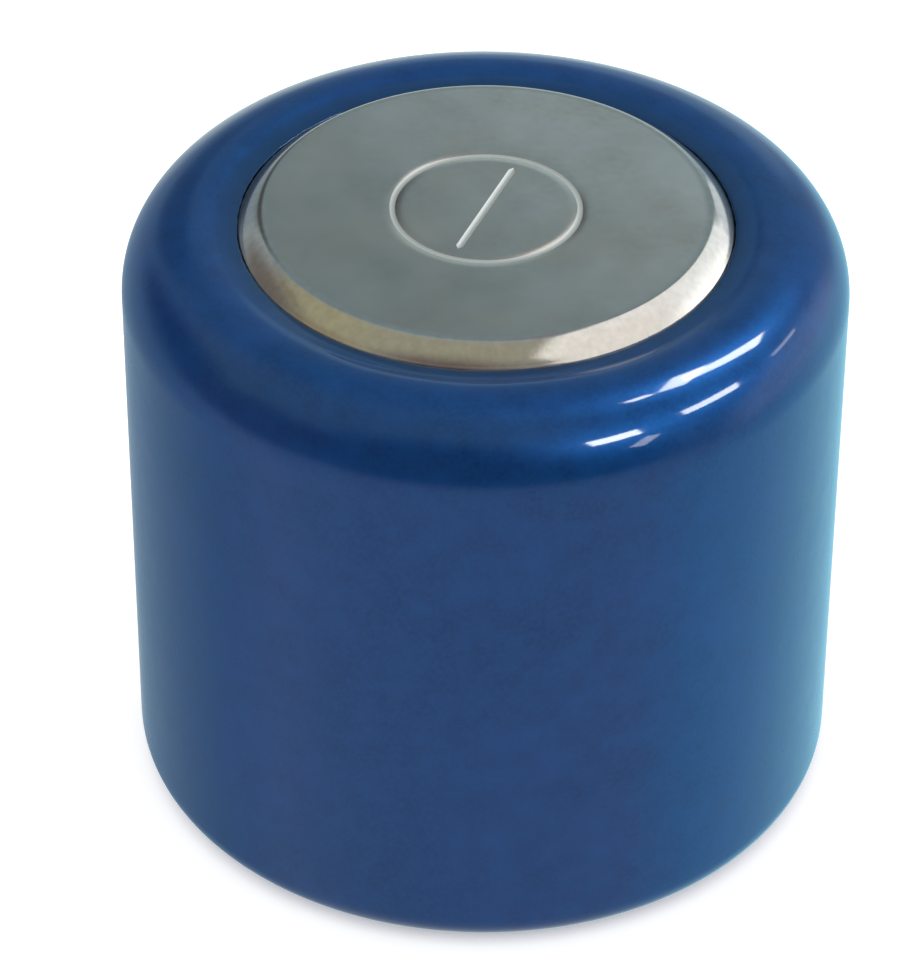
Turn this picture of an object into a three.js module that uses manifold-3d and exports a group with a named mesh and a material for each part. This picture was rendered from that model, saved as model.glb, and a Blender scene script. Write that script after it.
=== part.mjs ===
// Sleeved cylindrical lithium / manganese dioxide cell, built as it is assembled: a spiral-wound roll in a
// drawn steel can that is crimped over a gasket and a stamped cap, all in a heat-shrink sleeve.
// Millimetres, +Z up. The origin is the centre of the base, at the level that the cell stands on.
// The can is the positive terminal (below) and the cap is the negative terminal (above).
import * as THREE from "three";
import { mergeVertices } from "three/addons/utils/BufferGeometryUtils.js";
import Module from "manifold-3d";

// ---------- driving dimensions ----------
const CAN_DIAMETER = 11.6;
const SLEEVE_WALL = 0.09;
const FIT_GAP = 0.01; // between faces that touch on the real cell
const BODY_HEIGHT = 10.44; // base to the highest point of the sleeved shoulder
const PLATEAU_RISE = 0.2; // the cap's flat top above that point
const SHOULDER_RADIUS = 1.25; // outside of the sleeve
const BASE_CORNER_RADIUS = 0.55; // outside of the sleeve

const CAN_WALL = 0.25;
const CAN_FLOOR = 0.3;
const CAN_RIM_ANGLE = 105; // degrees of crimp, counted up from the side wall
const SLEEVE_CREST_ANGLE = 100; // where the film leaves the crimp and runs straight to the cap
const SLEEVE_TOP_EDGE_RADIUS = 4.02;
const SLEEVE_BASE_EDGE_RADIUS = 4.7;
const BASE_FACE_RADIUS = 4.6; // bare contact face, inside the sleeve's folded edge

const CAP_SHEET = 0.25;
const CAP_FLAT_RADIUS = 3.58;
const CAP_SIDE_RADIUS = 4.0;
const CAP_CROWN_RADIUS = 0.18; // small bend at the edge of the flat
const CAP_CROWN_TILT = 32; // degrees from level where the small bend ends
const CAP_BEVEL_RADIUS = 1.22; // wide bend from there to the side
const CAP_BEVEL_TILT = 52; // degrees from level at the side
const CAP_SIDE_FILLET = 0.16; // between the side and the flange
const CAP_SKIRT_DEPTH = 0.45; // straight part of the skirt, below the flange's bend
const MARK_RING_RADIUS = 1.51;
const MARK_WIDTH = 0.14;
const MARK_DEPTH = 0.03;
const MARK_LINE_LENGTH = 2.48;
const MARK_LINE_ANGLE = 69; // degrees from +X towards +Y

const GASKET_WALL = 0.26;
const GASKET_FOOT = 0.37; // thickness under the cap's skirt
const GASKET_LIP_RISE = 0.2; // of its inner lip above the flange
const GASKET_LIP_GAP = 0.12; // from its inner lip to the cap's side

const SUPPORT_RING_BORE_RADIUS = 4.6;
const SUPPORT_RING_SHEET = 0.2;
const SUPPORT_RING_LIFT = 0.04; // above the upper insulator

const CORE_RADIUS = 0.95; // where the mandrel was
const SEPARATOR_SHEET = 0.04;
const CATHODE_LAYER = 0.17; // pressed mix on each face of the grid
const GRID_SHEET = 0.06;
const LITHIUM_SHEET = 0.16;
const LAYER_GAP = 0.015;
const TAB_SHEET = 0.08;
const TAPE_SHEET = 0.05;
const ROLL_BASE = 0.75;
const ROLL_WIDTH = 7; // width of the separators, along the cell's axis
const ELECTRODE_INSET = 0.3; // the cathode stops this far inside the separators' edges
const LITHIUM_INSET = 0.4;
const INSULATOR_SHEET = 0.15;
const INSULATOR_RIM_GAP = 0.1;
const ROLL_TO_INSULATOR = 0.08;
const TAB_HOLE_RADIUS = 2.25;
const WELD_HOLE_RADIUS = 0.9;
const TAB_NOTCH_WIDTH = 2;
const TAB_NOTCH_CLEARANCE = 0.2;

const ANODE_TAB_WIDTH = 1.2;
const ANODE_TAB_WELD_Z = 2.5; // lowest point of the part that lies on the lithium
const CATHODE_TAB_WIDTH = 1.4;
const CATHODE_TAB_WELD_Z = 6; // highest point of the part that lies on the grid
const TAB_PAST_AXIS = 1; // a tab's foot reaches this far beyond the axis
const TAB_TAPE_BASE = 1.3;
const TAB_TAPE_TOP = 6.4;
const ROLL_TAPE_BASE = 1.6;
const ROLL_TAPE_TOP = 6.9;
const ROLL_TAPE_GAP = 0.04;

// Lengths along the winding are counted in steps from its inner end.
const STEPS_PER_TURN = 20;
const SEPARATOR_END = 106;
const CATHODE_START = 4;
const CATHODE_END = 100;
const LITHIUM_START = 7;
const LITHIUM_END = 92;
const ANODE_TAB_STEPS = 2;
const CATHODE_TAB_STEPS = 1;

const ROUND_SEGMENTS = 48;
const BEND_STEP = 15; // degrees, so that the crimped layers are faceted alike
const CORNER_STEPS = 3;
const CROWN_STEPS = 2;
const BEVEL_STEPS = 3;

// ---------- worked out from them ----------
const CAN_RADIUS = CAN_DIAMETER / 2;
const CAN_BORE_RADIUS = CAN_RADIUS - CAN_WALL;
const SLEEVE_RADIUS = CAN_RADIUS + FIT_GAP + SLEEVE_WALL;
const SLEEVED = SLEEVE_WALL + FIT_GAP; // how far the sleeve's outside stands off the can
const BEND_R = SLEEVE_RADIUS - SHOULDER_RADIUS; // centre of every bend in the crimp
const BEND_Z = BODY_HEIGHT - SHOULDER_RADIUS;
const CAN_INNER_FLOOR_Z = SLEEVED + CAN_FLOOR;
const CAP_TOP_Z = BODY_HEIGHT + PLATEAU_RISE;

const CAN_BEND = SHOULDER_RADIUS - SLEEVED;
const GASKET_BEND = CAN_BEND - CAN_WALL - 2 * FIT_GAP;
const CAP_BEND = GASKET_BEND - GASKET_WALL - 2 * FIT_GAP;
const SKIRT_RADIUS = BEND_R + CAP_BEND;
const SKIRT_END_Z = BEND_Z - CAP_SKIRT_DEPTH;
const FLANGE_Z = BEND_Z + CAP_BEND;
const GASKET_RADIUS = BEND_R + GASKET_BEND;
const GASKET_BASE_Z = SKIRT_END_Z - 2 * FIT_GAP - GASKET_FOOT;

// Offsets of each wound layer from the winding's base spiral, from the core outwards.
const INNER_SEPARATOR = 0;
const INNER_CATHODE = INNER_SEPARATOR + SEPARATOR_SHEET + LAYER_GAP;
const GRID = INNER_CATHODE + CATHODE_LAYER + LAYER_GAP;
const OUTER_CATHODE = GRID + GRID_SHEET + LAYER_GAP;
const OUTER_SEPARATOR = OUTER_CATHODE + CATHODE_LAYER + LAYER_GAP;
const LITHIUM = OUTER_SEPARATOR + SEPARATOR_SHEET + LAYER_GAP;
const PITCH = LITHIUM + LITHIUM_SHEET + LAYER_GAP;
const ROLL_TOP = ROLL_BASE + ROLL_WIDTH;
const ROLL_RADIUS = spiralRadius(SEPARATOR_END, OUTER_SEPARATOR + SEPARATOR_SHEET);

// ---------- materials ----------
function plainMaterial(color, roughness, metalness) {
  return new THREE.MeshStandardMaterial({ color, roughness, metalness });
}

const BLUE_FILM = plainMaterial(0x1f4686, 0.3, 0);
const NICKEL_STEEL = plainMaterial(0xa9adab, 0.35, 1);
const STAINLESS = plainMaterial(0x9ba3a1, 0.4, 1);
const CLEAR_NYLON = plainMaterial(0xd8d4c4, 0.5, 0);
const PLAIN_STEEL = plainMaterial(0x8c8f90, 0.45, 1);
const WHITE_POLYMER = plainMaterial(0xe9e9e4, 0.6, 0);
const BLACK_MIX = plainMaterial(0x1d1c1b, 0.95, 0);
const LITHIUM_METAL = plainMaterial(0xb9bcc0, 0.5, 1);
const YELLOW_TAPE = plainMaterial(0xc99a35, 0.4, 0);

// ---------- geometry helpers ----------
function at(radius, height) {
  return new THREE.Vector2(radius, height);
}

/** Points on an arc in the (radius, height) plane, both ends included. Angles in degrees, 0 is outwards. */
function arc(centreR, centreZ, radius, from, to, steps) {
  const points = [];
  for (let i = 0; i <= steps; i++) {
    const angle = THREE.MathUtils.degToRad(from + ((to - from) * i) / Math.max(steps, 1));
    points.push(at(centreR + radius * Math.cos(angle), centreZ + radius * Math.sin(angle)));
  }
  return points;
}

/** Points up the crimp's bend from the side wall, all on the same rays, whatever the layer's radius. */
function crimpBend(radius, endAngle) {
  const wholeAngle = Math.floor(endAngle / BEND_STEP) * BEND_STEP;
  const points = arc(BEND_R, BEND_Z, radius, 0, wholeAngle, wholeAngle / BEND_STEP);
  if (endAngle > wholeAngle) points.push(...arc(BEND_R, BEND_Z, radius, endAngle, endAngle, 0));
  return points;
}

/** A solid turned about Z. A profile that does not start and end on the axis is closed into a ring. */
function turned(profile) {
  const onAxis = profile[0].x === 0 && profile.at(-1).x === 0;
  const points = onAxis ? profile : [...profile, profile[0].clone()];
  return new THREE.LatheGeometry(points, ROUND_SEGMENTS).rotateX(Math.PI / 2);
}

/** A flat outline in the XY plane, raised from one height to another. */
function raised(outline, fromZ, toZ, hole) {
  const shape = new THREE.Shape(outline);
  if (hole) shape.holes.push(hole);
  const settings = { depth: toZ - fromZ, bevelEnabled: false, curveSegments: ROUND_SEGMENTS / 2 };
  return new THREE.ExtrudeGeometry(shape, settings).translate(0, 0, fromZ);
}

function spiralRadius(step, offset) {
  return CORE_RADIUS + (PITCH * step) / STEPS_PER_TURN + offset;
}

/** Points along one face of a wound layer, from one step to another, in either direction. */
function windingFace(from, to, offset) {
  const points = [];
  const direction = Math.sign(to - from);
  for (let i = 0; i <= Math.abs(to - from); i++) {
    const step = from + direction * i;
    const angle = (2 * Math.PI * step) / STEPS_PER_TURN;
    const radius = spiralRadius(step, offset);
    points.push(at(radius * Math.cos(angle), radius * Math.sin(angle)));
  }
  return points;
}

/** The section of a wound layer of even thickness. */
function windingSection(from, to, offset, thickness) {
  return [...windingFace(from, to, offset), ...windingFace(to, from, offset + thickness)];
}

/** The angle, in radians, of the middle of a stretch of the winding. */
function middleAngle(from, steps) {
  return (2 * Math.PI * (from + steps / 2)) / STEPS_PER_TURN;
}

/** A rectangle that runs along a radius at the given angle. */
function radialStrip(angle, innerR, outerR, width) {
  const side = width / 2;
  const corners = [at(innerR, -side), at(outerR, -side), at(outerR, side), at(innerR, side)];
  return corners.map((corner) => corner.rotateAround(at(0, 0), angle));
}

// ---------- booleans ----------
const wasm = await Module();
wasm.setup();

function toSolid(geometry) {
  const bare = geometry.clone();
  bare.deleteAttribute("normal");
  bare.deleteAttribute("uv");
  const merged = mergeVertices(bare, 1e-4);
  return new wasm.Manifold(
    new wasm.Mesh({
      numProp: 3,
      vertProperties: merged.attributes.position.array,
      triVerts: new Uint32Array(merged.index.array),
    }),
  );
}

function toGeometry(solid) {
  const mesh = solid.getMesh();
  const geometry = new THREE.BufferGeometry();
  geometry.setAttribute("position", new THREE.BufferAttribute(mesh.vertProperties, 3));
  geometry.setIndex(new THREE.BufferAttribute(mesh.triVerts, 1));
  geometry.computeVertexNormals();
  return geometry;
}

// ---------- outer pieces ----------

/** Heat-shrunk film over the side wall, the crimped shoulder and the edge of the base. */
function shrinkSleeve() {
  const insideBend = SHOULDER_RADIUS - SLEEVE_WALL;
  const outside = crimpBend(SHOULDER_RADIUS, SLEEVE_CREST_ANGLE);
  const crest = outside.at(-1);
  const slope = Math.tan(THREE.MathUtils.degToRad(SLEEVE_CREST_ANGLE - 90));
  const lipZ = crest.y - (crest.x - SLEEVE_TOP_EDGE_RADIUS) * slope;
  const cornerR = SLEEVE_RADIUS - BASE_CORNER_RADIUS;
  const insideCorner = BASE_CORNER_RADIUS - SLEEVE_WALL;
  return turned([
    at(SLEEVE_BASE_EDGE_RADIUS, 0),
    ...arc(cornerR, BASE_CORNER_RADIUS, BASE_CORNER_RADIUS, -90, 0, CORNER_STEPS),
    ...outside,
    at(SLEEVE_TOP_EDGE_RADIUS, lipZ),
    at(SLEEVE_TOP_EDGE_RADIUS, lipZ - SLEEVE_WALL),
    ...crimpBend(insideBend, SLEEVE_CREST_ANGLE).reverse(),
    ...arc(cornerR, BASE_CORNER_RADIUS, insideCorner, 0, -90, CORNER_STEPS),
    at(SLEEVE_BASE_EDGE_RADIUS, SLEEVE_WALL),
  ]);
}

/** Deep-drawn can with a flat base. Its mouth is bent inwards over the gasket. */
function positiveCan() {
  const corner = BASE_CORNER_RADIUS - SLEEVED;
  const cornerR = CAN_RADIUS - corner;
  const insideCorner = corner - CAN_WALL;
  const insideBend = CAN_BEND - CAN_WALL;
  return turned([
    at(0, SLEEVED),
    at(BASE_FACE_RADIUS, SLEEVED),
    ...arc(cornerR, BASE_CORNER_RADIUS, corner, -90, 0, CORNER_STEPS),
    ...crimpBend(CAN_BEND, CAN_RIM_ANGLE),
    ...crimpBend(insideBend, CAN_RIM_ANGLE).reverse(),
    ...arc(cornerR, CAN_INNER_FLOOR_Z + insideCorner, insideCorner, 0, -90, CORNER_STEPS),
    at(0, CAN_INNER_FLOOR_Z),
  ]);
}

/** The rounded edge of the cap's top, from the side inwards to the flat. */
function capBevel() {
  const crownZ = CAP_TOP_Z - CAP_CROWN_RADIUS;
  const crown = arc(CAP_FLAT_RADIUS, crownZ, CAP_CROWN_RADIUS, 90 - CAP_CROWN_TILT, 90, CROWN_STEPS);
  const tilt = THREE.MathUtils.degToRad(CAP_CROWN_TILT);
  const centreR = crown[0].x - CAP_BEVEL_RADIUS * Math.sin(tilt);
  const centreZ = crown[0].y - CAP_BEVEL_RADIUS * Math.cos(tilt);
  const [from, to] = [90 - CAP_BEVEL_TILT, 90 - CAP_CROWN_TILT];
  const bevel = arc(centreR, centreZ, CAP_BEVEL_RADIUS, from, to, BEVEL_STEPS);
  return [...bevel.slice(0, -1), ...crown];
}

/** The pressed top. The ring of its polarity sign is in the profile, and the bar is cut afterwards. */
function negativeCap() {
  const bevel = capBevel();
  const bevelZ = bevel[0].y;
  const undersideZ = CAP_TOP_Z - CAP_SHEET;
  const insideBend = CAP_BEND - CAP_SHEET;
  const insideSideR = CAP_SIDE_RADIUS - CAP_SHEET;
  const insideFlangeZ = FLANGE_Z - CAP_SHEET;
  const insideBevelZ = bevelZ - CAP_SHEET / 4;
  const footR = CAP_SIDE_FILLET / 4;
  const footZ = (3 * CAP_SIDE_FILLET) / 4;
  const shell = turned([
    at(0, undersideZ),
    at(insideSideR - CAP_SHEET, undersideZ),
    at(insideSideR, insideBevelZ),
    at(insideSideR + footR, insideFlangeZ + footZ),
    at(insideSideR + CAP_SIDE_FILLET, insideFlangeZ),
    ...arc(BEND_R, BEND_Z, insideBend, 90, 0, CORNER_STEPS),
    at(SKIRT_RADIUS - CAP_SHEET, SKIRT_END_Z),
    at(SKIRT_RADIUS, SKIRT_END_Z),
    ...crimpBend(CAP_BEND, 90),
    at(CAP_SIDE_RADIUS + CAP_SIDE_FILLET, FLANGE_Z),
    at(CAP_SIDE_RADIUS + footR, FLANGE_Z + footZ),
    at(CAP_SIDE_RADIUS, bevelZ - FIT_GAP),
    ...bevel,
    at(MARK_RING_RADIUS + MARK_WIDTH / 2, CAP_TOP_Z),
    at(MARK_RING_RADIUS, CAP_TOP_Z - MARK_DEPTH),
    at(MARK_RING_RADIUS - MARK_WIDTH / 2, CAP_TOP_Z),
    at(0, CAP_TOP_Z),
  ]);
  const angle = THREE.MathUtils.degToRad(MARK_LINE_ANGLE);
  const bar = radialStrip(angle, -MARK_LINE_LENGTH / 2, MARK_LINE_LENGTH / 2, MARK_WIDTH);
  const barCut = raised(bar, CAP_TOP_Z - MARK_DEPTH, CAP_TOP_Z + MARK_DEPTH);
  return toGeometry(toSolid(shell).subtract(toSolid(barCut)));
}

/** Moulded J-section ring that seals and insulates the cap from the can. */
function sealingGasket() {
  const insideBend = GASKET_BEND - GASKET_WALL;
  const lipR = CAP_SIDE_RADIUS + GASKET_LIP_GAP;
  const innerLegOuterR = SKIRT_RADIUS - CAP_SHEET - 2 * FIT_GAP;
  const innerLegInnerR = innerLegOuterR - GASKET_WALL;
  const footTopZ = GASKET_BASE_Z + GASKET_FOOT;
  return turned([
    at(innerLegInnerR, GASKET_BASE_Z),
    at(GASKET_RADIUS, GASKET_BASE_Z),
    ...crimpBend(GASKET_BEND, CAN_RIM_ANGLE),
    at(lipR, FLANGE_Z + GASKET_LIP_RISE),
    at(lipR + GASKET_LIP_GAP / 2, FLANGE_Z + 2 * FIT_GAP),
    ...crimpBend(insideBend, 90).reverse(),
    at(SKIRT_RADIUS + 2 * FIT_GAP, footTopZ),
    at(innerLegOuterR, footTopZ),
    at(innerLegOuterR, BEND_Z),
    at(innerLegInnerR, BEND_Z),
  ]);
}

/** Pressed steel ring that carries the gasket's foot while the mouth is crimped. */
function sealSupportRing() {
  const outerR = CAN_BORE_RADIUS - 2 * FIT_GAP;
  const topZ = GASKET_BASE_Z - 2 * FIT_GAP;
  const legZ = ROLL_TOP + ROLL_TO_INSULATOR + INSULATOR_SHEET + SUPPORT_RING_LIFT;
  return turned([
    at(SUPPORT_RING_BORE_RADIUS, topZ - SUPPORT_RING_SHEET),
    at(outerR - SUPPORT_RING_SHEET, topZ - SUPPORT_RING_SHEET),
    at(outerR - SUPPORT_RING_SHEET, legZ),
    at(outerR, legZ),
    at(outerR, topZ),
    at(SUPPORT_RING_BORE_RADIUS, topZ),
  ]);
}

// ---------- insulators ----------

/** Washer over the roll, with room for the anode tab in its middle. */
function upperInsulator() {
  const base = ROLL_TOP + ROLL_TO_INSULATOR;
  const rimR = CAN_BORE_RADIUS - INSULATOR_RIM_GAP;
  return turned([
    at(TAB_HOLE_RADIUS, base),
    at(rimR, base),
    at(rimR, base + INSULATOR_SHEET),
    at(TAB_HOLE_RADIUS, base + INSULATOR_SHEET),
  ]);
}

/** Disc under the roll, with a hole for the welding electrode and a notch where the cathode tab passes. */
function lowerInsulator() {
  const base = CAN_INNER_FLOOR_Z + TAB_SHEET + 4 * FIT_GAP;
  const rimR = CAN_BORE_RADIUS - INSULATOR_RIM_GAP;
  const notchFloorR = spiralRadius(CATHODE_END, OUTER_CATHODE) - TAB_NOTCH_CLEARANCE;
  const side = TAB_NOTCH_WIDTH / 2;
  const notchAngle = middleAngle(CATHODE_END, CATHODE_TAB_STEPS);
  const halfNotch = Math.asin(side / rimR);
  const sweep = 2 * Math.PI - 2 * halfNotch;
  const rim = [];
  for (let i = 0; i <= ROUND_SEGMENTS; i++) {
    const angle = notchAngle + halfNotch + (sweep * i) / ROUND_SEGMENTS;
    rim.push(at(rimR * Math.cos(angle), rimR * Math.sin(angle)));
  }
  const floor = [at(notchFloorR, -side), at(notchFloorR, side)];
  const notch = floor.map((corner) => corner.rotateAround(at(0, 0), notchAngle));
  const weldHole = new THREE.Path().absarc(0, 0, WELD_HOLE_RADIUS, 0, 2 * Math.PI, true);
  return raised([...rim, ...notch], base, base + INSULATOR_SHEET, weldHole);
}

// ---------- wound roll ----------

function separator(offset) {
  return raised(windingSection(0, SEPARATOR_END, offset, SEPARATOR_SHEET), ROLL_BASE, ROLL_TOP);
}

function cathodeStrip(offset, thickness, end) {
  const section = windingSection(CATHODE_START, end, offset, thickness);
  return raised(section, ROLL_BASE + ELECTRODE_INSET, ROLL_TOP - ELECTRODE_INSET);
}

/** Lithium foil, pressed to half its thickness where the anode tab lies on it. */
function lithiumAnode() {
  const tabEnd = LITHIUM_START + ANODE_TAB_STEPS;
  const section = [
    ...windingFace(LITHIUM_START, LITHIUM_END, LITHIUM),
    ...windingFace(LITHIUM_END, tabEnd, LITHIUM + LITHIUM_SHEET),
    ...windingFace(tabEnd, LITHIUM_START, LITHIUM + LITHIUM_SHEET - TAB_SHEET),
  ];
  return raised(section, ROLL_BASE + LITHIUM_INSET, ROLL_TOP - LITHIUM_INSET);
}

/** A tab is a leg that follows the winding and a foot bent over towards the axis. */
function tab(section, legFromZ, legToZ, angle, footOuterR, footZ, width) {
  const leg = raised(section, legFromZ, legToZ);
  const footOutline = radialStrip(angle, -TAB_PAST_AXIS, footOuterR, width);
  const foot = raised(footOutline, footZ, footZ + TAB_SHEET);
  return toGeometry(toSolid(leg).add(toSolid(foot)));
}

/** Strip from the lithium's inner end, up through the roll's core to the underside of the cap. */
function anodeTab() {
  const offset = LITHIUM + LITHIUM_SHEET - TAB_SHEET + LAYER_GAP;
  const sheet = TAB_SHEET - LAYER_GAP;
  const end = LITHIUM_START + ANODE_TAB_STEPS;
  const section = windingSection(LITHIUM_START, end, offset, sheet);
  const topZ = CAP_TOP_Z - CAP_SHEET - FIT_GAP;
  const angle = middleAngle(LITHIUM_START, ANODE_TAB_STEPS);
  const footOuterR = spiralRadius(LITHIUM_START, offset);
  const footZ = topZ - TAB_SHEET;
  return tab(section, ANODE_TAB_WELD_Z, topZ, angle, footOuterR, footZ, ANODE_TAB_WIDTH);
}

/** Strip from the grid's outer end, down to the middle of the can's floor. */
function cathodeTab() {
  const end = CATHODE_END + CATHODE_TAB_STEPS;
  const section = windingSection(CATHODE_END, end, OUTER_CATHODE, TAB_SHEET);
  const baseZ = CAN_INNER_FLOOR_Z + FIT_GAP;
  const angle = middleAngle(CATHODE_END, CATHODE_TAB_STEPS);
  const footOuterR = spiralRadius(CATHODE_END, OUTER_CATHODE + TAB_SHEET / 2);
  return tab(section, baseZ, CATHODE_TAB_WELD_Z, angle, footOuterR, baseZ, CATHODE_TAB_WIDTH);
}

/** Insulating tape over the weld of the cathode tab. */
function cathodeTabTape() {
  const offset = OUTER_CATHODE + TAB_SHEET + LAYER_GAP;
  const end = CATHODE_END + CATHODE_TAB_STEPS;
  return raised(windingSection(CATHODE_END, end, offset, TAPE_SHEET), TAB_TAPE_BASE, TAB_TAPE_TOP);
}

/** Adhesive band that keeps the roll from unwinding. */
function rollTape() {
  const innerR = ROLL_RADIUS + ROLL_TAPE_GAP;
  return turned([
    at(innerR, ROLL_TAPE_BASE),
    at(innerR + TAPE_SHEET, ROLL_TAPE_BASE),
    at(innerR + TAPE_SHEET, ROLL_TAPE_TOP),
    at(innerR, ROLL_TAPE_TOP),
  ]);
}

// ---------- assembly ----------

const cell = new THREE.Group();
cell.name = "cylindrical_cell";

function place(group, name, geometry, material) {
  const mesh = new THREE.Mesh(geometry, material.clone());
  mesh.name = name;
  group.add(mesh);
}

const enclosure = new THREE.Group();
place(enclosure, "shrink_sleeve", shrinkSleeve(), BLUE_FILM);
place(enclosure, "positive_can", positiveCan(), NICKEL_STEEL);
place(enclosure, "negative_cap", negativeCap(), STAINLESS);
place(enclosure, "sealing_gasket", sealingGasket(), CLEAR_NYLON);
place(enclosure, "seal_support_ring", sealSupportRing(), PLAIN_STEEL);
place(enclosure, "upper_insulator", upperInsulator(), WHITE_POLYMER);
place(enclosure, "lower_insulator", lowerInsulator(), WHITE_POLYMER);
cell.add(enclosure);

const roll = new THREE.Group();
place(roll, "inner_separator", separator(INNER_SEPARATOR), WHITE_POLYMER);
const innerMix = cathodeStrip(INNER_CATHODE, CATHODE_LAYER, CATHODE_END);
const grid = cathodeStrip(GRID, GRID_SHEET, CATHODE_END + CATHODE_TAB_STEPS);
const outerMix = cathodeStrip(OUTER_CATHODE, CATHODE_LAYER, CATHODE_END - 1);
place(roll, "cathode_inner_layer", innerMix, BLACK_MIX);
place(roll, "cathode_grid", grid, PLAIN_STEEL);
place(roll, "cathode_outer_layer", outerMix, BLACK_MIX);
place(roll, "outer_separator", separator(OUTER_SEPARATOR), WHITE_POLYMER);
place(roll, "lithium_anode", lithiumAnode(), LITHIUM_METAL);
place(roll, "anode_tab", anodeTab(), NICKEL_STEEL);
place(roll, "cathode_tab", cathodeTab(), STAINLESS);
place(roll, "cathode_tab_tape", cathodeTabTape(), YELLOW_TAPE);
place(roll, "roll_tape", rollTape(), YELLOW_TAPE);
cell.add(roll);

export default cell;
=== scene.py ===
"""Looks for the sleeved cylindrical cell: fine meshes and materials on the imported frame, in metres."""

import math

import bmesh
import bpy
from mathutils import Matrix, Vector


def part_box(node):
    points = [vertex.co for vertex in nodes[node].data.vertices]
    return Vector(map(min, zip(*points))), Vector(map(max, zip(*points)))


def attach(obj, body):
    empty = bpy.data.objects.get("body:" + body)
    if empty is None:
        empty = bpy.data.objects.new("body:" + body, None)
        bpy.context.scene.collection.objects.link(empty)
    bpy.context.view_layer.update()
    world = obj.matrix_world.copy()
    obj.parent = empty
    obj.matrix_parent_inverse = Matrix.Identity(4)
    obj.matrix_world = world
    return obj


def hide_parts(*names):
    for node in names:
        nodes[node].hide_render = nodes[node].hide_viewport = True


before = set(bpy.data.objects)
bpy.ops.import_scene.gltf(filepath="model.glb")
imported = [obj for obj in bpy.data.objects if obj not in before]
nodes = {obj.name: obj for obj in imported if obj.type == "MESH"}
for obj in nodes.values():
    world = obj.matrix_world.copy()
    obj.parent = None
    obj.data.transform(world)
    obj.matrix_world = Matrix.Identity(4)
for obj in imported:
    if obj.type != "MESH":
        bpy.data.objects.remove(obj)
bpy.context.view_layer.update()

MM = 0.001
ON_AXIS = 1e-9  # a profile point nearer the axis than this lies on it
ROUND = 256  # facets round a turned piece
FILM_ROUND = 512  # finer, for its uneven edges
GASKET_ROUND = 192
SHARP_EDGE = math.radians(32)

# ---------- sizes from the frame ----------
sleeve_low, sleeve_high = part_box("shrink_sleeve")
can_low, can_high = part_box("positive_can")
cap_low, cap_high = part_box("negative_cap")
gasket_low, gasket_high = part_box("sealing_gasket")

SLEEVE_R = sleeve_high.x
CAN_R = can_high.x
CAP_R = cap_high.x
GASKET_R = gasket_high.x

# ---------- sizes that no box gives, the same as in the CAD ----------
FILM = 0.09 * MM
SHOULDER = 1.25 * MM  # outside radius of the film's bend over the crimp
BASE_CORNER = 0.55 * MM  # outside radius of the film's bend at the base
CREST_ANGLE = 100  # where the film leaves the crimp and runs straight to the cap
FOLD_EDGE_R = 4.7 * MM  # the film's opening under the base
CAN_WALL = 0.25 * MM
CAN_FLOOR = 0.3 * MM
CAP_SHEET = 0.25 * MM
CAP_FLAT_R = 3.58 * MM
CAP_SIDE_R = 4.0 * MM
CROWN_R, CROWN_TILT = 0.18 * MM, 32  # small bend at the edge of the flat, and its last slope
BEVEL_R, BEVEL_TILT = 1.22 * MM, 52  # wide bend from there to the side
MARK_R = 1.51 * MM
MARK_BAR = 2.48 * MM
MARK_BAR_ANGLE = 69
GASKET_WALL = 0.26 * MM

# The film, can, cap and gasket bend round one centre.
BEND_R = SLEEVE_R - SHOULDER
BEND_Z = sleeve_high.z - SHOULDER

# ---------- sizes that only the looks have ----------
LIP_R = 4.0 * MM  # the film's opening round the cap, before its edge wanders
MARK_WIDTH = 0.12 * MM
MARK_RING_DEPTH = 0.02 * MM
MARK_BAR_DEPTH = 0.03 * MM

# ---------- mesh helpers ----------


def arc(centre, radius, start, end, steps):
    """Points on an arc in the (radius, height) plane. Angles in degrees, 0 is outwards."""
    points = []
    for i in range(steps + 1):
        angle = math.radians(start + (end - start) * i / steps)
        points.append((centre[0] + radius * math.cos(angle), centre[1] + radius * math.sin(angle)))
    return points


def line(start, end, steps):
    """Points on a straight stretch, without its two ends."""
    return [
        (start[0] + (end[0] - start[0]) * i / steps, start[1] + (end[1] - start[1]) * i / steps)
        for i in range(1, steps)
    ]


def revolve(name, profile, closed, wobble=None, segments=ROUND):
    """A turned mesh. wobble(angle, radius, height) gives the radius and height a vertex moves to."""
    mesh = bmesh.new()
    rings = []
    for radius, height in profile:
        if radius < ON_AXIS:
            rings.append([mesh.verts.new((0, 0, height))])
            continue
        ring = []
        for i in range(segments):
            angle = 2 * math.pi * i / segments
            r, z = wobble(angle, radius, height) if wobble else (radius, height)
            ring.append(mesh.verts.new((r * math.cos(angle), r * math.sin(angle), z)))
        rings.append(ring)
    pairs = list(zip(rings, rings[1:]))
    if closed:
        pairs.append((rings[-1], rings[0]))
    for lower, upper in pairs:
        for i in range(segments):
            j = (i + 1) % segments
            if len(lower) == 1:
                mesh.faces.new((lower[0], upper[j], upper[i]))
            elif len(upper) == 1:
                mesh.faces.new((lower[i], lower[j], upper[0]))
            else:
                mesh.faces.new((lower[i], lower[j], upper[j], upper[i]))
    return finished(name, mesh)


def finished(name, mesh):
    """Turns a bmesh into a smooth-shaded object with its normals out."""
    bmesh.ops.recalc_face_normals(mesh, faces=mesh.faces)
    data = bpy.data.meshes.new(name)
    mesh.to_mesh(data)
    mesh.free()
    piece = bpy.data.objects.new(name, data)
    bpy.context.scene.collection.objects.link(piece)
    data.shade_smooth()
    return piece


def declare(piece, node, material):
    """Puts the piece on the body in place of its CAD node, with its finish."""
    piece.data.materials.clear()
    piece.data.materials.append(material)
    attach(piece, "root")
    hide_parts(node)


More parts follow.
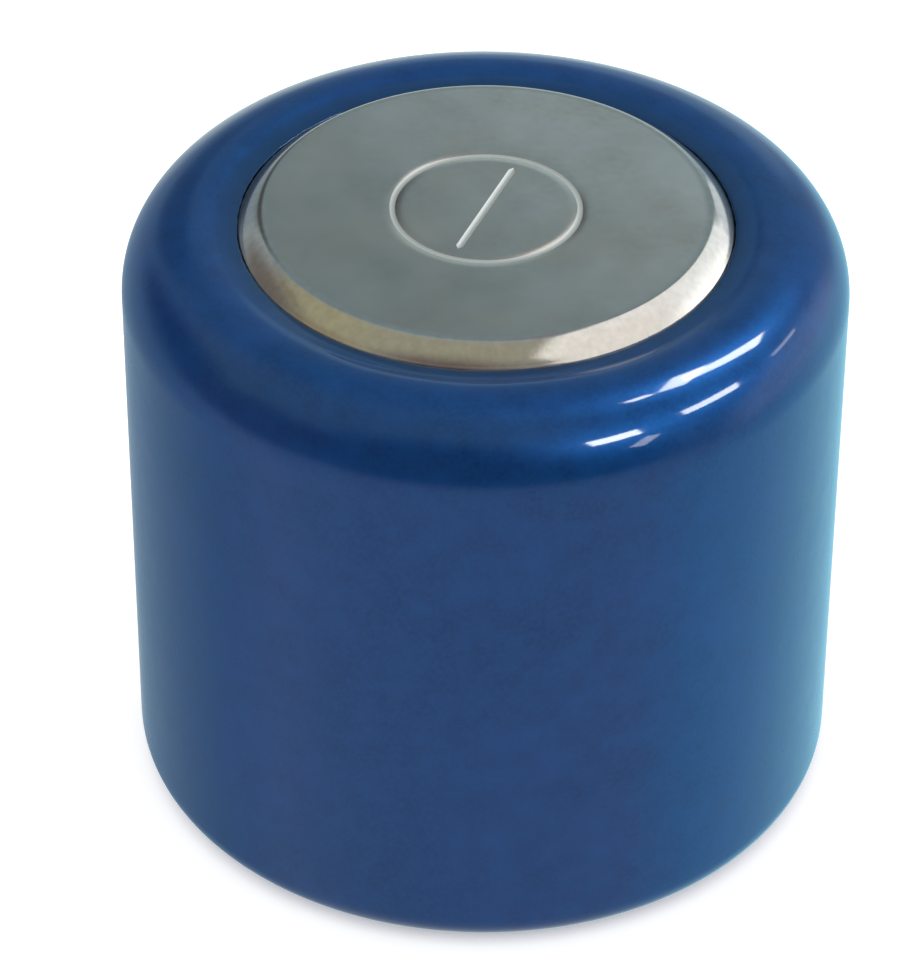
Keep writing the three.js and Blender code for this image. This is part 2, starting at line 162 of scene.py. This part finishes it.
def carve(piece, cutter):
    """Cuts one mesh out of another, for good."""
    cut = piece.modifiers.new("cut", "BOOLEAN")
    cut.operation = "DIFFERENCE"
    cut.solver = "EXACT"
    cut.object = cutter
    graph = bpy.context.evaluated_depsgraph_get()
    result = bpy.data.meshes.new_from_object(piece.evaluated_get(graph))
    piece.modifiers.remove(cut)
    old = piece.data
    piece.data = result
    bpy.data.meshes.remove(old)
    bpy.data.objects.remove(cutter)
    result.name = piece.name
    result.shade_smooth()
    result.set_sharp_from_angle(angle=SHARP_EDGE)


# ---------- node helpers ----------

# A Mix node's sockets share their names, so these are their places.
MIX_FACTOR = 0
FLOAT_A, FLOAT_B, FLOAT_RESULT = 2, 3, 0
COLOUR_A, COLOUR_B, COLOUR_RESULT = 6, 7, 2


class Tree:
    """A node tree, with short calls for the nodes that the finishes and the world use."""

    def __init__(self, tree, coordinates):
        self.tree = tree
        self.place = self.add("ShaderNodeTexCoord").outputs[coordinates]

    def add(self, kind, **settings):
        node = self.tree.nodes.new(kind)
        for key, value in settings.items():
            setattr(node, key, value)
        return node

    def link(self, output, socket):
        self.tree.links.new(output, socket)

    def fill(self, socket, value):
        """Sets a number or colour on a socket, or links another node's output to it."""
        if isinstance(value, bpy.types.NodeSocket):
            self.link(value, socket)
        elif isinstance(value, tuple):
            socket.default_value = (*value, 1)
        else:
            socket.default_value = value

    def height(self):
        """How high a point is."""
        node = self.add("ShaderNodeSeparateXYZ")
        self.link(self.place, node.inputs[0])
        return node.outputs["Z"]

    def along(self, way):
        """How far a point is along a direction."""
        node = self.add("ShaderNodeVectorMath", operation="DOT_PRODUCT")
        node.inputs[1].default_value = way
        self.link(self.place, node.inputs[0])
        return node.outputs["Value"]

    def span(self, value, low, high, from_low=0.3, from_high=0.7, shape="LINEAR"):
        """Goes from low to high as the value goes from from_low to from_high, and no further."""
        node = self.add("ShaderNodeMapRange", interpolation_type=shape)
        node.inputs["From Min"].default_value = from_low
        node.inputs["From Max"].default_value = from_high
        node.inputs["To Min"].default_value = low
        node.inputs["To Max"].default_value = high
        self.link(value, node.inputs["Value"])
        return node.outputs["Result"]

    def blend(self, factor, first, second):
        """One colour fading to another as the factor goes from 0 to 1."""
        node = self.add("ShaderNodeMix", data_type="RGBA")
        self.link(factor, node.inputs[MIX_FACTOR])
        self.fill(node.inputs[COLOUR_A], first)
        self.fill(node.inputs[COLOUR_B], second)
        return node.outputs[COLOUR_RESULT]

    def between(self, factor, first, second):
        """One number fading to another as the factor goes from 0 to 1."""
        node = self.add("ShaderNodeMix", data_type="FLOAT")
        self.link(factor, node.inputs[MIX_FACTOR])
        self.fill(node.inputs[FLOAT_A], first)
        self.fill(node.inputs[FLOAT_B], second)
        return node.outputs[FLOAT_RESULT]


class Finish(Tree):
    """A material's node tree."""

    def __init__(self, name):
        self.material = bpy.data.materials.new(name)
        self.material.use_nodes = True
        super().__init__(self.material.node_tree, "Object")
        self.shader = self.tree.nodes["Principled BSDF"]

    def from_axis(self):
        """How far a point is from the vertical axis."""
        flat = self.add("ShaderNodeVectorMath", operation="MULTIPLY")
        flat.inputs[1].default_value = (1, 1, 0)
        self.link(self.place, flat.inputs[0])
        length = self.add("ShaderNodeVectorMath", operation="LENGTH")
        self.link(flat.outputs["Vector"], length.inputs[0])
        return length.outputs["Value"]

    def noise(self, feature, detail=3.0, rough=0.5):
        """Noise whose blotches are about `feature` metres across."""
        node = self.add("ShaderNodeTexNoise")
        node.inputs["Scale"].default_value = 1 / feature
        node.inputs["Detail"].default_value = detail
        node.inputs["Roughness"].default_value = rough
        self.link(self.place, node.inputs["Vector"])
        return node.outputs["Fac"]

    def bump(self, height, depth, strength, over=None):
        """A bumpy normal, on top of another one if it is given."""
        node = self.add("ShaderNodeBump")
        node.inputs["Strength"].default_value = strength
        node.inputs["Distance"].default_value = depth
        self.link(height, node.inputs["Height"])
        if over:
            self.link(over, node.inputs["Normal"])
        return node.outputs["Normal"]

    def set(self, **values):
        """Fills the shader's sockets and gives the material."""
        for key, value in values.items():
            self.fill(self.shader.inputs[key.replace("_", " ")], value)
        return self.material


# ---------- materials ----------


def film_finish():
    """Heat-shrink film: clear blue over bright steel, so its gloss is mostly blue, with a clear skin."""
    deep_dark, deep_light = (0.0011, 0.034, 0.132), (0.0022, 0.052, 0.188)
    pale_dark, pale_light = (0.0046, 0.038, 0.153), (0.0065, 0.056, 0.210)
    fleck = (0.0042, 0.060, 0.210)
    # painted shade: the film is darker near its edge round the cap, where the gap between film and cap
    # lies in shade
    lip_painted_shade, lip_start, lip_end = (0.0020, 0.030, 0.075), 4.02 * MM, 4.45 * MM
    n = Finish("sleeve_film")
    tint = n.noise(2.6 * MM, detail=2)
    mottle = n.noise(0.5 * MM, detail=4, rough=0.6)
    fine = n.noise(0.07 * MM, detail=2)
    deep = n.blend(n.span(mottle, 0, 1), deep_dark, deep_light)
    pale = n.blend(n.span(mottle, 0, 1), pale_dark, pale_light)
    colour = n.blend(n.span(tint, 0, 1, 0.4, 0.65), deep, pale)
    colour = n.blend(n.span(fine, 0, 0.6), colour, fleck)
    # painted shade: the film's colour darkens towards its edge round the cap
    colour = n.blend(n.span(n.from_axis(), 0.7, 0, lip_start, lip_end), colour, lip_painted_shade)
    ripple = n.bump(n.noise(1.5 * MM, detail=1), 0.008 * MM, 0.5)
    skin = n.bump(n.noise(0.10 * MM, detail=1), 0.0014 * MM, 0.6, over=ripple)
    return n.set(
        Base_Color=colour,
        Metallic=0.66,
        Roughness=n.span(n.noise(0.5 * MM, detail=3), 0.36, 0.44),
        Specular_IOR_Level=0.05,
        Coat_Weight=1.0,
        Coat_Roughness=0.065,
        Coat_IOR=1.44,
        Coat_Normal=ripple,
        Normal=skin,
    )


def steel_finish(name, dark, light, low_gloss, high_gloss, grain=0.06 * MM):
    """Satin steel with cloudy tone, fine grain and uneven gloss."""
    n = Finish(name)
    cloud = n.noise(2.2 * MM, detail=5, rough=0.6)
    speck = n.noise(0.16 * MM, detail=2)
    tone = n.blend(n.span(cloud, 0, 1), dark, light)
    colour = n.blend(n.span(speck, 0, 0.5), tone, light)
    gloss = n.span(n.noise(0.8 * MM, detail=3), low_gloss, high_gloss, 0.2, 0.8)
    skin = n.bump(n.noise(grain, detail=1), 0.0008 * MM, 0.6)
    return n.set(Base_Color=colour, Metallic=1.0, Roughness=gloss, Normal=skin)


def cap_finish(top):
    """Stamped steel: a clouded satin flat with painted light and shade, lighter towards the right back
    and darker towards the left front, a smoother edge and frosted lines.
    """
    # Lit and shaded copies of the flat's tone: painted light and painted shade.
    lit_dark, lit_light = (0.68, 0.56, 0.45), (0.88, 0.74, 0.62)
    shaded_dark, shaded_light = (0.44, 0.375, 0.31), (0.54, 0.465, 0.385)
    edge_dark, edge_light = (0.60, 0.51, 0.42), (0.68, 0.58, 0.48)
    stain_tone, line_tone = (0.66, 0.53, 0.385), (0.58, 0.58, 0.53)
    painted_shade_way, painted_shade_start, painted_shade_end = (0.75, 0.66, 0), -2.4 * MM, 2.8 * MM
    edge_start, edge_end = 3.50 * MM, 3.62 * MM
    sunk_full, sunk_start = top - 0.014 * MM, top - 0.006 * MM
    sign_in, sign_out = 2.0 * MM, 2.1 * MM  # the lines of the sign lie inside this radius
    n = Finish("cap_steel")
    from_axis = n.from_axis()
    speck = n.noise(0.14 * MM, detail=2)
    cloud = n.noise(1.3 * MM, detail=3, rough=0.5)
    # Painted light and shade: the flat is shaded towards the left front and lit towards the right back;
    # bright is the lit copy.
    painted_shade = n.span(n.along(painted_shade_way), 0.85, 0.05, painted_shade_start, painted_shade_end)
    bright = n.blend(n.span(cloud, 0, 1), lit_dark, lit_light)
    bright = n.blend(n.span(speck, 0, 0.5), bright, lit_light)
    shaded_flat = n.blend(n.span(cloud, 0, 1), shaded_dark, shaded_light)
    flat_tone = n.blend(painted_shade, bright, shaded_flat)
    stain = n.span(n.noise(1.8 * MM, detail=4), 0, 0.5, 0.45, 0.7)
    flat_tone = n.blend(stain, flat_tone, stain_tone)
    edge_tone = n.blend(n.span(speck, 0, 1), edge_dark, edge_light)
    on_edge = n.span(from_axis, 0, 1, edge_start, edge_end)
    colour = n.blend(on_edge, flat_tone, edge_tone)
    sunk = n.span(n.height(), 1, 0, sunk_full, sunk_start)
    in_line = n.between(n.span(from_axis, 0, 1, sign_in, sign_out), sunk, 0.0)
    colour = n.blend(in_line, colour, line_tone)
    satin = n.span(n.noise(0.8 * MM, detail=3), 0.20, 0.27, 0.2, 0.8)
    gloss = n.between(on_edge, satin, 0.15)
    skin = n.bump(n.noise(0.06 * MM, detail=1), 0.0008 * MM, 0.6)
    return n.set(
        Base_Color=colour,
        Metallic=n.between(in_line, 1.0, 0.7),
        Roughness=n.between(in_line, gloss, 0.45),
        Normal=skin,
    )


def polymer_finish(name, dark, light, rough_low=0.4, rough_high=0.6):
    """Plain moulded or extruded polymer with a little clouding."""
    n = Finish(name)
    colour = n.blend(n.span(n.noise(0.8 * MM), 0, 1), dark, light)
    skin = n.bump(n.noise(0.06 * MM, detail=2), 0.002 * MM, 0.4)
    return n.set(
        Base_Color=colour,
        Roughness=n.span(n.noise(0.3 * MM), rough_low, rough_high),
        Normal=skin,
    )


def mix_finish():
    """Pressed black powder."""
    n = Finish("cathode_mix")
    speck = n.noise(0.05 * MM, detail=6, rough=0.7)
    colour = n.blend(n.span(speck, 0, 1), (0.012, 0.011, 0.010), (0.045, 0.042, 0.040))
    return n.set(
        Base_Color=colour,
        Roughness=n.span(n.noise(0.2 * MM), 0.8, 0.97),
        Normal=n.bump(speck, 0.008 * MM, 0.8),
    )


# ---------- pieces ----------


def build_sleeve(material):
    """Shrunk film: round the wall, over the crimp and folded under the base. Its edges are uneven."""
    cut_round, cut_inset = 0.018 * MM, 0.012 * MM
    cut_slant, fold_slant = 0.01 * MM, 0.02 * MM
    corner = (SLEEVE_R - BASE_CORNER, sleeve_low.z + BASE_CORNER)
    outside = [(FOLD_EDGE_R + fold_slant, sleeve_low.z)]
    outside += line(outside[0], (corner[0], sleeve_low.z), 5)
    outside += arc(corner, BASE_CORNER, -90, 0, 12)
    outside += line((SLEEVE_R, corner[1]), (SLEEVE_R, BEND_Z), 40)
    outside += arc((BEND_R, BEND_Z), SHOULDER, 0, CREST_ANGLE, 44)
    lip_slope = math.tan(math.radians(CREST_ANGLE - 90))
    crest_end = outside[-1]
    lip_end = (LIP_R, crest_end[1] - (crest_end[0] - LIP_R) * lip_slope)
    outside += line(crest_end, lip_end, 10)
    outside += arc((LIP_R + cut_inset, lip_end[1] - cut_round), cut_round, 110, 190, 4)
    inside = [(LIP_R + cut_slant, lip_end[1] - FILM)]
    inside += arc((BEND_R, BEND_Z), SHOULDER - FILM, CREST_ANGLE, 0, 24)
    inside += line((SLEEVE_R - FILM, BEND_Z), (SLEEVE_R - FILM, corner[1]), 10)
    inside += arc(corner, BASE_CORNER - FILM, 0, -90, 8)
    inside += [(FOLD_EDGE_R, sleeve_low.z + FILM)]

    top_zone, top_wander = 0.3 * MM, 0.014 * MM
    crest_r, crest_zone, crest_dip = 4.35 * MM, 0.5 * MM, 0.010 * MM
    highest_swell = 1.9  # the sum of the swell's three waves, so the crest dips and never rises
    fold_zone, fold_pleat = 0.9 * MM, 0.05 * MM

    def uneven(angle, radius, height):
        """The cut edges wander, the crest isn't quite level, and the fold has small pleats."""
        if height > BEND_Z:
            near_edge = max(0.0, 1 - (radius - LIP_R) / top_zone)
            wander = 0.4 * math.sin(3 * angle + 0.7) + 0.3 * math.sin(11 * angle + 2.1)
            wander += 0.2 * math.sin(37 * angle) + 0.2 * math.sin(83 * angle + 1.0)
            near_crest = max(0.0, 1 - abs(radius - crest_r) / crest_zone)
            swell = math.sin(2 * angle + 0.4) + 0.6 * math.sin(5 * angle + 2.5)
            swell += 0.3 * math.sin(13 * angle)
            radius += near_edge * top_wander * (1 + wander)
            height += near_crest**2 * crest_dip * (swell - highest_swell)
        elif height < corner[1]:
            near_edge = max(0.0, 1 - (radius - FOLD_EDGE_R) / fold_zone)
            pleat = 0.5 * math.sin(29 * angle + 0.8 * math.sin(2 * angle))
            pleat += 0.5 * math.sin(13 * angle + 1.3)
            radius += near_edge * fold_pleat * pleat
        return radius, height

    profile = outside + inside
    piece = revolve("sleeve_film_shell", profile, closed=True, wobble=uneven, segments=FILM_ROUND)
    declare(piece, "shrink_sleeve", material)
    return piece


def build_can(material):
    """Drawn can with a flat base and its mouth crimped inwards."""
    rim_angle = 102  # degrees of crimp, counted up from the side wall
    corner_r = BASE_CORNER - (SLEEVE_R - CAN_R)
    corner = (CAN_R - corner_r, can_low.z + corner_r)
    bend = SHOULDER - (SLEEVE_R - CAN_R)
    profile = [(0, can_low.z)]
    profile += line((0, can_low.z), (corner[0], can_low.z), 24)
    profile += arc(corner, corner_r, -90, 0, 10)
    profile += arc((BEND_R, BEND_Z), bend, 0, rim_angle, 28)
    profile += arc((BEND_R, BEND_Z), bend - CAN_WALL, rim_angle, 0, 20)
    inner_corner = corner_r - CAN_WALL
    floor_z = can_low.z + CAN_FLOOR
    profile += arc((corner[0], floor_z + inner_corner), inner_corner, 0, -90, 6)
    profile += line((corner[0], floor_z), (0, floor_z), 6)
    profile += [(0, floor_z)]
    piece = revolve("drawn_can", profile, closed=False)
    declare(piece, "positive_can", material)


def mark_groove_profile(radius, top, width, depth):
    """A shallow rounded groove in a flat top, walked inwards."""
    steps = 8
    points = []
    for i in range(steps + 1):
        across = 1 - 2 * i / steps
        drop = depth * (1 - across * across)
        points.append((radius + across * width / 2, top - drop))
    return points


def groove_cutter(name, length, width, depth):
    """A keel with round ends, whose belly cuts a shallow bar into the flat that it straddles."""
    stations, across_steps = 33, 8
    blunt = 0.02  # keeps the two ends from closing to a point
    mesh = bmesh.new()
    rows = []
    for i in range(stations):
        x = -length / 2 + length * i / (stations - 1)
        from_end = min(i, stations - 1 - i) / (stations - 1) * length
        full = min(1.0, from_end / (width / 2))
        half = width / 2 * math.sqrt(max(blunt, 1 - (1 - full) ** 2))
        reach = half / (width / 2)
        row = []
        for j in range(across_steps + 1):
            across = -1 + 2 * j / across_steps
            row.append(mesh.verts.new((x, across * half, -depth * reach * (1 - across * across))))
        row.append(mesh.verts.new((x, half, depth)))
        row.append(mesh.verts.new((x, -half, depth)))
        rows.append(row)
    for first, second in zip(rows, rows[1:]):
        for j in range(len(first)):
            k = (j + 1) % len(first)
            mesh.faces.new((first[j], first[k], second[k], second[j]))
    mesh.faces.new(rows[0])
    mesh.faces.new(rows[-1])
    return finished(name, mesh)


def build_cap(material):
    """Stamped cap: flat contact, rounded edge, flange under the crimp and a skirt in the gasket."""
    top = cap_high.z
    under = top - CAP_SHEET
    bend = CAP_R - BEND_R
    flange_z = BEND_Z + bend
    inner_side = CAP_SIDE_R - CAP_SHEET
    inner_crown, inner_foot, outer_foot = 0.3 * MM, 0.15 * MM, 0.17 * MM  # the raised part's bends
    side_round = 0.03 * MM  # between the bevel and the side
    hem = CAP_SHEET / 2

    # From the middle of the underside out to the skirt's hem, then back up over the flange.
    profile = [(0, under)]
    profile += line((0, under), (inner_side - inner_crown, under), 4)
    profile += arc((inner_side - inner_crown, under - inner_crown), inner_crown, 90, 0, 8)
    inner_foot_centre = (inner_side + inner_foot, flange_z - CAP_SHEET + inner_foot)
    profile += arc(inner_foot_centre, inner_foot, 180, 270, 6)
    profile += arc((BEND_R, BEND_Z), bend - CAP_SHEET, 90, 0, 12)
    profile += arc((CAP_R - hem, cap_low.z + hem), hem, 180, 360, 10)
    profile += arc((BEND_R, BEND_Z), bend, 0, 90, 18)
    profile += arc((CAP_SIDE_R + outer_foot, flange_z + outer_foot), outer_foot, 270, 180, 8)

    # The crown and the bevel meet on one slope, so they are worked out from the flat's edge.
    crown = arc((CAP_FLAT_R, top - CROWN_R), CROWN_R, 90 - CROWN_TILT, 90, 6)
    bevel_centre = (
        crown[0][0] - BEVEL_R * math.sin(math.radians(CROWN_TILT)),
        crown[0][1] - BEVEL_R * math.cos(math.radians(CROWN_TILT)),
    )
    bevel = arc(bevel_centre, BEVEL_R, 90 - BEVEL_TILT, 90 - CROWN_TILT, 16)
    side_top = bevel[0][1] - side_round * math.cos(math.radians(BEVEL_TILT))
    profile += arc((CAP_SIDE_R - side_round, side_top), side_round, 0, 90 - BEVEL_TILT, 3)
    profile += bevel[1:-1]
    profile += crown

    groove = mark_groove_profile(MARK_R, top, MARK_WIDTH, MARK_RING_DEPTH)
    profile += line((CAP_FLAT_R, top), groove[0], 14)
    profile += groove
    profile += line(groove[-1], (0, top), 10)
    profile += [(0, top)]
    piece = revolve("stamped_cap", profile, closed=False)

    bar = groove_cutter("bar_cutter", MARK_BAR, MARK_WIDTH, MARK_BAR_DEPTH)
    turn = Matrix.Rotation(math.radians(MARK_BAR_ANGLE), 4, "Z")
    bar.matrix_world = Matrix.Translation((0, 0, top)) @ turn
    bpy.context.view_layer.update()
    carve(piece, bar)
    declare(piece, "negative_cap", material)
    return piece


def build_gasket(material):
    """Moulded J-section ring between the can and the cap."""
    gap = 0.02 * MM  # to the cap's skirt
    foot_round, lip_round = 0.05 * MM, 0.08 * MM
    lip_r, lip_rise = 4.12 * MM, 0.12 * MM
    lip_inset, lip_step = 0.03 * MM, 0.005 * MM
    rim_angle = 102  # as far as the can is crimped
    bend = GASKET_R - BEND_R
    inner_bend = bend - GASKET_WALL
    leg_out = CAP_R - CAP_SHEET - gap
    leg_in = leg_out - GASKET_WALL
    foot_z = gasket_low.z + foot_round
    foot_top = cap_low.z - gap
    inner_top = BEND_Z + bend - GASKET_WALL
    profile = arc((leg_in + foot_round, foot_z), foot_round, 180, 270, 4)
    profile += arc((GASKET_R - foot_round, foot_z), foot_round, 270, 360, 4)
    profile += arc((BEND_R, BEND_Z), bend, 0, rim_angle, 24)
    profile += arc((lip_r + lip_round, inner_top + lip_rise), lip_round, 90, 180, 5)
    profile += [(lip_r + lip_inset, inner_top + lip_step)]
    profile += arc((BEND_R, BEND_Z), inner_bend, 90, 0, 16)
    profile += [(CAP_R + gap, foot_top), (leg_out, foot_top), (leg_out, BEND_Z), (leg_in, BEND_Z)]
    piece = revolve("moulded_gasket", profile, closed=True, segments=GASKET_ROUND)
    declare(piece, "sealing_gasket", material)


def dress_inner_nodes(finishes):
    """The sealed inner pieces keep their CAD shape and take a finish each."""
    for node, material in finishes.items():
        data = nodes[node].data
        data.materials.clear()
        data.materials.append(material)


# ---------- stage, lights and camera ----------

# Azimuths are counted from +X, the right, towards +Y, the back, so the camera is at -90. Degrees.

PANE_DISTANCE = 0.3  # of each area light from the top of the cell

# The panes whose sharp streaks lie on the film's shoulder: azimuth, elevation, width and height as
# the cell sees them, radiance and tilt.
WINDOWS = (
    ("window", 29, 59.5, 13, 6, 20.0, -12),
    ("window_side", 31, 50, 18, 7.5, 21.0, -84),
    ("window_top", 13, 66.3, 4.6, 3.2, 22.0, -45),
    ("window_low", -11, 33.5, 18, 6, 21.0, -20),
    ("window_front", -47, 36.5, 14, 7, 27.0, 0),
    ("window_front_foot", -41, 22, 10, 5, 7.0, 47),
    ("window_far", 20, 24.6, 11, 3, 4.0, -21),
)

# The soft panels that light the cap's bevel, with a colour in place of the tilt.
PANELS = (
    ("panel_white", 6, 28, 92, 92, 1.16, (0.79, 0.905, 1.0)),
    ("panel_right", 58, -2, 16, 26, 0.6, (0.79, 0.905, 1.0)),
    ("panel_left", 152, 14, 44, 34, 0.13, (0.80, 1.0, 0.90)),
)

# The studio that gloss shows: soft round areas, each over the ones before it. Azimuth, elevation,
# how far from that direction the area is full, how far it has faded out, and its colour.
STUDIO = (0.28, 0.38, 0.52)
STUDIO_FIRST = (
    (0, 90, 10, 40, (0.35, 0.49, 0.64)),  # overhead
    (90, 37, 22, 55, (0.22, 0.34, 0.43)),  # back, high
    (15, -2, 16, 36, (0.92, 1.05, 1.22)),  # right, level, bright
    (-25, 45, 18, 40, (0.19, 0.17, 0.18)),  # right front, high, dark
    (40, 58, 8, 28, (0.22, 0.24, 0.30)),  # right back, high, dark
    (182, 40, 14, 38, (0.42, 0.465, 0.35)),  # left, high, yellowish
    (-112, 60, 14, 41, (0.39, 0.44, 0.38)),  # front, high
    (160, 9, 10, 32, (0.07, 0.05, 0.07)),  # left back, low, dark
    (-158, 8, 10, 32, (0.16, 0.09, 0.10)),  # left front, low, dark
    (114, 24, 5, 19, (0.08, 0.10, 0.12)),  # back, low, dark
    (-105, 10, 25, 52, (0.10, 0.07, 0.10)),  # front, low, dark
    (-55, 8, 10, 28, (0.08, 0.07, 0.10)),  # right front, low, dark
)
GROUND = (0.53, 0.59, 0.64)
GROUND_START, GROUND_FULL = -0.06, -0.36  # sines of elevation
STUDIO_LAST = (
    (90, -12, 8, 26, (0.80, 0.95, 0.95)),  # back, just below the horizon
    (82, 12, 6, 16, (0.42, 0.62, 0.72)),  # back, just above the horizon
    (28, -25, 10, 33, (0.66, 1.12, 1.20)),  # right back, bright
    (8, -40, 3, 40, (0.36, 0.76, 0.96)),  # right, steep
    (55, -34, 12, 38, (0.38, 0.80, 1.00)),  # right back, steep
    (145, -34, 20, 48, (0.26, 0.40, 0.52)),  # left back, steep
)


def direction(azimuth, elevation):
    """Unit vector at an azimuth and an elevation, in degrees."""
    a, e = math.radians(azimuth), math.radians(elevation)
    return Vector((math.cos(e) * math.cos(a), math.cos(e) * math.sin(a), math.sin(e)))


def receivers_of(piece):
    """A collection that limits a light to one piece."""
    only = bpy.data.collections.new(piece.name + "_only")
    only.objects.link(piece)
    return only


def area_light(
    name, azimuth, elevation, width, height, radiance, receivers, tilt=0, tint=(1, 1, 1)
):
    """A rectangle of light that only its receivers' gloss shows. All its angles are in degrees."""
    data = bpy.data.lights.new(name, "AREA")
    data.shape = "RECTANGLE"
    data.size = 2 * PANE_DISTANCE * math.tan(math.radians(width / 2))
    data.size_y = 2 * PANE_DISTANCE * math.tan(math.radians(height / 2))
    data.energy = radiance * math.pi * data.size * data.size_y
    data.color = tint
    light = bpy.data.objects.new(name, data)
    aim = Vector((0, 0, sleeve_high.z))
    towards = direction(azimuth, elevation)
    tilted = Matrix.Rotation(math.radians(tilt), 3, "Z").to_quaternion()
    turn = towards.to_track_quat("Z", "Y") @ tilted
    spot = Matrix.Translation(aim + towards * PANE_DISTANCE)
    light.matrix_world = spot @ turn.to_matrix().to_4x4()
    light.visible_camera = False
    light.visible_diffuse = False
    light.light_linking.receiver_collection = receivers
    bpy.context.scene.collection.objects.link(light)


def build_lights(sleeve, cap):
    """The window panes for the film, and three soft panels for the cap."""
    film_only = receivers_of(sleeve)
    for *shape, tilt in WINDOWS:
        area_light(*shape, film_only, tilt=tilt)
    cap_only = receivers_of(cap)
    for *shape, tint in PANELS:
        area_light(*shape, cap_only, tint=tint)


def build_world():
    """White for the camera, the studio for gloss, and even soft light for all else."""
    world = bpy.data.worlds.new("studio")
    world.use_nodes = True
    n = Tree(world.node_tree, "Generated")

    def patch(azimuth, elevation, inner, outer):
        full, faded = math.cos(math.radians(inner)), math.cos(math.radians(outer))
        return n.span(n.along(direction(azimuth, elevation)), 0, 1, faded, full, "SMOOTHSTEP")

    gloss = STUDIO
    for *area, shade in STUDIO_FIRST:
        gloss = n.blend(patch(*area), gloss, shade)
    ground = n.span(n.height(), 0, 1, GROUND_START, GROUND_FULL, "SMOOTHSTEP")
    gloss = n.blend(ground, gloss, GROUND)
    for *area, shade in STUDIO_LAST:
        gloss = n.blend(patch(*area), gloss, shade)
    matt = n.blend(patch(0, 90, 10, 100), (0.75, 0.75, 0.76), (1.5, 1.5, 1.5))
    rays = n.add("ShaderNodeLightPath").outputs
    seen = n.blend(rays["Is Glossy Ray"], matt, gloss)
    seen = n.blend(rays["Is Camera Ray"], seen, (1.0, 1.0, 1.0))
    n.link(seen, n.tree.nodes["Background"].inputs["Color"])
    bpy.context.scene.world = world


def build_floor():
    """A wide pale sheet under the cell, which glows a little and isn't seen in gloss."""
    half_size, drop = 0.45, 0.005 * MM
    mesh = bmesh.new()
    bmesh.ops.create_grid(mesh, x_segments=8, y_segments=8, size=half_size)
    floor = finished("floor", mesh)
    floor.location.z = sleeve_low.z - drop
    n = Finish("pale_floor")
    floor_finish = n.set(
        Base_Color=n.blend(n.span(n.noise(4 * MM), 0, 1), (0.88, 0.88, 0.88), (0.91, 0.91, 0.91)),
        Roughness=0.95,
        Specular_IOR_Level=0.1,
        Emission_Color=(1.0, 1.0, 1.0),
        Emission_Strength=0.3,
    )
    floor.data.materials.append(floor_finish)
    floor.visible_glossy = False


def build_camera():
    """A long lens in front of the cell, a little over 37 degrees above the floor."""
    azimuth, elevation = -90, 37.34
    distance, aim_height = 13.27 * SLEEVE_R, 0.9 * SLEEVE_R
    pan, nod, roll = 0.00485, -0.00395, 0.00923  # radians
    data = bpy.data.cameras.new("camera")
    data.sensor_width = 36
    data.lens = 171.8
    data.clip_start = 0.005
    data.clip_end = 5
    camera = bpy.data.objects.new("camera", data)
    aim = Vector((0, 0, aim_height))
    towards = direction(azimuth, elevation)
    frame_turn = towards.to_track_quat("Z", "Y").to_matrix().to_4x4()
    nudge = Matrix.Rotation(pan, 4, "Y") @ Matrix.Rotation(nod, 4, "X")
    rolled = Matrix.Rotation(roll, 4, "Z")
    spot = Matrix.Translation(aim + towards * distance)
    camera.matrix_world = spot @ frame_turn @ nudge @ rolled
    bpy.context.scene.collection.objects.link(camera)
    bpy.context.scene.camera = camera


# ---------- assembly ----------

FILM_BLUE = film_finish()
CAP_STEEL = cap_finish(cap_high.z)
CAN_STEEL = steel_finish("can_steel", (0.55, 0.55, 0.53), (0.66, 0.66, 0.64), 0.26, 0.38)
INNER_STEEL = steel_finish("inner_steel", (0.42, 0.42, 0.42), (0.55, 0.55, 0.55), 0.35, 0.5)
TAB_METAL = steel_finish("tab_metal", (0.52, 0.52, 0.50), (0.62, 0.62, 0.60), 0.25, 0.4)
LITHIUM = steel_finish(
    "lithium_foil", (0.52, 0.53, 0.56), (0.68, 0.69, 0.71), 0.4, 0.6, grain=0.1 * MM
)
NYLON = polymer_finish("gasket_polymer", (0.60, 0.56, 0.44), (0.68, 0.64, 0.52))
INSULATOR = polymer_finish("insulator_polymer", (0.80, 0.80, 0.77), (0.88, 0.88, 0.85))
SEPARATOR = polymer_finish("separator_film", (0.86, 0.86, 0.84), (0.93, 0.93, 0.91), 0.55, 0.75)
TAPE = polymer_finish("adhesive_tape", (0.70, 0.37, 0.05), (0.80, 0.47, 0.08), 0.15, 0.3)
MIX = mix_finish()

build_camera()
build_floor()
build_world()
build_lights(build_sleeve(FILM_BLUE), build_cap(CAP_STEEL))
build_can(CAN_STEEL)
build_gasket(NYLON)
dress_inner_nodes(
    {
        "seal_support_ring": INNER_STEEL,
        "upper_insulator": INSULATOR,
        "lower_insulator": INSULATOR,
        "inner_separator": SEPARATOR,
        "outer_separator": SEPARATOR,
        "cathode_inner_layer": MIX,
        "cathode_outer_layer": MIX,
        "cathode_grid": INNER_STEEL,
        "lithium_anode": LITHIUM,
        "anode_tab": TAB_METAL,
        "cathode_tab": TAB_METAL,
        "cathode_tab_tape": TAPE,
        "roll_tape": TAPE,
    }
)
bpy.context.scene.view_settings.view_transform = "Standard"
